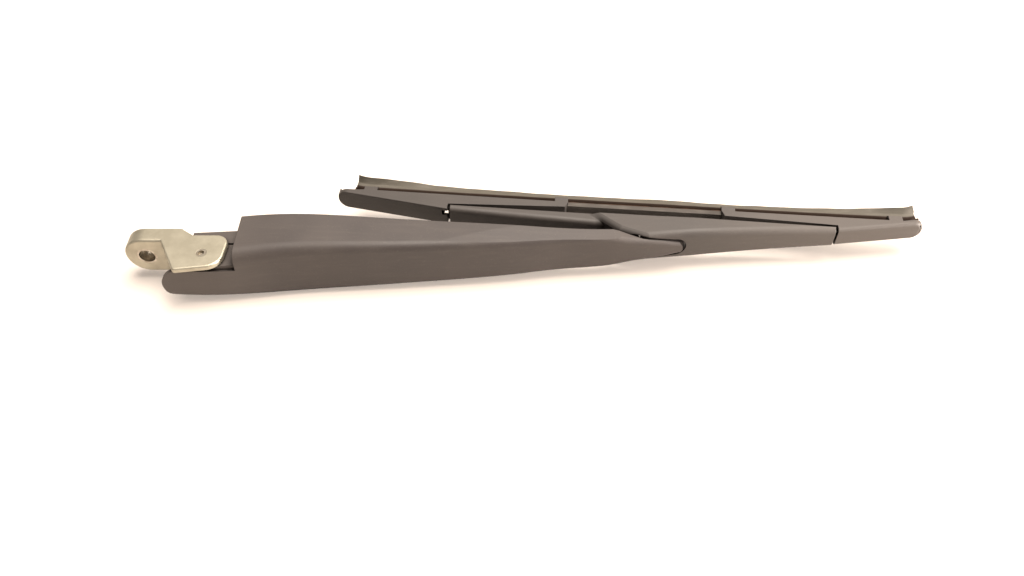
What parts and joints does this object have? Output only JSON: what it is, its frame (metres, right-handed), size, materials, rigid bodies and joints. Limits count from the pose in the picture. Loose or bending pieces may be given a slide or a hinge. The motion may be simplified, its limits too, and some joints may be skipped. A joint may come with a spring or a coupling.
{
  "type": "wiper arm",
  "caption": "Rear-window wiper arm: a cast head for the spindle, a sprung moulded arm that lifts, and a hinged blade whose rocking yokes hold a rubber strip.",
  "frame": {"origin": "on the spindle axis, on the face of the head that takes the nut", "axes": "+X along the arm from the spindle to the tip, +Y along the spindle towards the glass, +Z parallel to the hinge pins, up from the table the part lies on"},
  "size_m": [0.4106, 0.0748, 0.033],
  "materials": {
    "weathered_plastic": "weathered, fine grain",
    "cast_metal": "as cast, dull",
    "steel": "plain",
    "bush_plastic": "smooth",
    "rubber": "aged, dusty"
  },
  "bodies": {
    "head": {"arm_head": "cast_metal", "spindle_bush": "steel", "hinge_pin": "steel"},
    "arm": {"arm_shell": "weathered_plastic", "spring_anchor_pin": "steel", "pivot_bush": "bush_plastic"},
    "spring": {"tension_spring": "steel"},
    "link": {"spring_link": "steel"},
    "bridge": {"blade_bridge": "weathered_plastic", "blade_pivot_pin": "steel", "inner_yoke_pin": "steel", "outer_yoke_pin": "steel", "wiper_rubber": "rubber", "rail_upper": "steel", "rail_lower": "steel"},
    "inner_yoke": {"inner_yoke": "weathered_plastic"},
    "outer_yoke": {"outer_yoke": "weathered_plastic"}
  },
  "joints": [
    {"name": "arm_hinge", "type": "hinge", "parent": "head", "child": "arm", "pos_m": [0.0321, -0.0083, 0], "axis": [0, 0, -1], "range_deg": [0, 36], "stiffness_Nm_per_rad": 1.2, "springref_deg": -28.65},
    {"name": "spring_swing", "type": "hinge", "parent": "arm", "child": "spring", "pos_m": [0.128, 0.0035, 0], "axis": [0, 0, 1], "range_deg": [0, 2.6]},
    {"name": "link_slide", "type": "slide", "parent": "spring", "child": "link", "axis": [-0.9997, -0.0257, 0], "range_m": [0, 0.0048], "deforming": ["tension_spring"]},
    {"name": "blade_pivot", "type": "hinge", "parent": "arm", "child": "bridge", "pos_m": [0.256, 0.0115, 0], "axis": [0, 0, 1], "range_deg": [-20, 3]},
    {"name": "inner_yoke_pivot", "type": "hinge", "parent": "bridge", "child": "inner_yoke", "pos_m": [0.16117, 0.03542, 0], "axis": [0, 0, 1], "range_deg": [-5, 5], "stiffness_Nm_per_rad": 0.3, "deforming": ["wiper_rubber", "rail_upper", "rail_lower"]},
    {"name": "outer_yoke_pivot", "type": "hinge", "parent": "bridge", "child": "outer_yoke", "pos_m": [0.34472, 0.02001, 0], "axis": [0, 0, 1], "range_deg": [-5, 5], "stiffness_Nm_per_rad": 0.3, "deforming": ["wiper_rubber", "rail_upper", "rail_lower"]}
  ],
  "couplings": [
    {"joint": "spring_swing", "follows": "arm_hinge", "ratio": 0.06988},
    {"joint": "link_slide", "follows": "arm_hinge", "m_per_rad": 0.007411}
  ]
}
